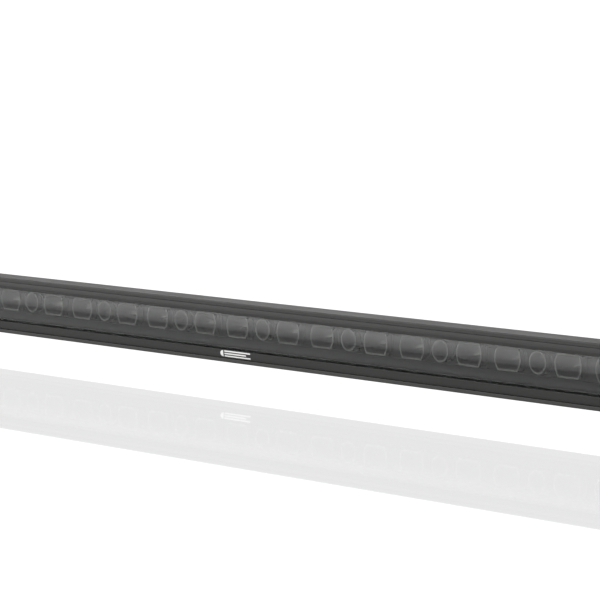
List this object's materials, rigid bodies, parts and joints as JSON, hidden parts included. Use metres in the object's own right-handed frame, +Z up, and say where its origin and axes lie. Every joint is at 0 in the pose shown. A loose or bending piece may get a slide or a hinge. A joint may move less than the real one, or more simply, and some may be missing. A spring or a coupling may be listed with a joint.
{
  "type": "led light bar",
  "caption": "Long slim LED light bar with a curved clear lens in a finned black housing, tilting between two L-shaped slotted end brackets.",
  "frame": {"origin": "on the mounting surface, midway between the centres of the two feet's slots", "axes": "+X along the bar, the lens faces -Y with the bar untilted, +Z up from the mounting surface"},
  "size_m": [1.104, 0.087, 0.0785],
  "materials": {
    "black_anodised": "satin black anodised, fine drawn grain along the bar",
    "black_cast": "black powder coat over die-cast aluminium",
    "black_trim": "satin black glass-filled plastic",
    "board": "white solder mask on aluminium-core board",
    "board_green": "green driver circuit board",
    "bracket_black": "black powder coated steel",
    "clear_lens": "hard-coated clear polycarbonate, glossy",
    "clear_optic": "clear acrylic",
    "component_black": "black moulded components",
    "component_silver": "aluminium capacitor cans",
    "copper": "tinned copper",
    "led": "white ceramic package with a yellow phosphor dome",
    "metallised": "vacuum-metallised heat-resistant plastic",
    "nylon_black": "black nylon",
    "pad": "grey thermal pad",
    "silicone": "black silicone",
    "stainless": "stainless steel, brushed",
    "zinc_steel": "zinc plated steel"
  },
  "bodies": {
    "mounting_brackets": {"left_bracket": "bracket_black", "right_bracket": "bracket_black"},
    "light_bar": {"board_connectors": "component_black", "board_link_leads": "copper", "bottom_bezel_rail": "black_anodised", "breather_vent": "nylon_black", "driver_board": "board_green", "driver_capacitors": "component_silver", "driver_chips": "component_black", "driver_inductors": "component_black", "driver_screws": "zinc_steel", "driver_standoffs": "zinc_steel", "driver_terminal": "component_black", "feed_grommet": "silicone", "feed_pins": "copper", "flood_leds": "led", "flood_optics": "clear_optic", "gland_body": "nylon_black", "gland_dome_nut": "nylon_black", "gland_lock_nut": "nylon_black", "gland_seal": "silicone", "housing_extrusion": "black_anodised", "led_board_1": "board", "led_board_2": "board", "led_board_3": "board", "led_board_4": "board", "led_board_screws": "zinc_steel", "left_cap_screws": "stainless", "left_end_cap": "black_cast", "left_end_gasket": "silicone", "left_flat_washer": "stainless", "left_pivot_bolt": "stainless", "left_spacer": "nylon_black", "left_spring_washer": "stainless", "lens": "clear_lens", "lower_inner_trim": "black_trim", "lower_lens_seal": "silicone", "reflector_mask": "black_trim", "reflector_module_1": "metallised", "reflector_module_2": "metallised", "reflector_module_3": "metallised", "reflector_module_4": "metallised", "reflector_screws": "zinc_steel", "right_cap_screws": "stainless", "right_end_cap": "black_cast", "right_end_gasket": "silicone", "right_flat_washer": "stainless", "right_pivot_bolt": "stainless", "right_spacer": "nylon_black", "right_spring_washer": "stainless", "spot_leds": "led", "thermal_pad_1": "pad", "thermal_pad_2": "pad", "thermal_pad_3": "pad", "thermal_pad_4": "pad", "top_bezel_rail": "black_anodised", "upper_inner_trim": "black_trim", "upper_lens_seal": "silicone"}
  },
  "joints": [
    {"name": "bar_tilt", "type": "hinge", "parent": "mounting_brackets", "child": "light_bar", "pos_m": [0, 0, 0.05], "axis": [1, 0, 0], "range_deg": [-60, 90]}
  ]
}
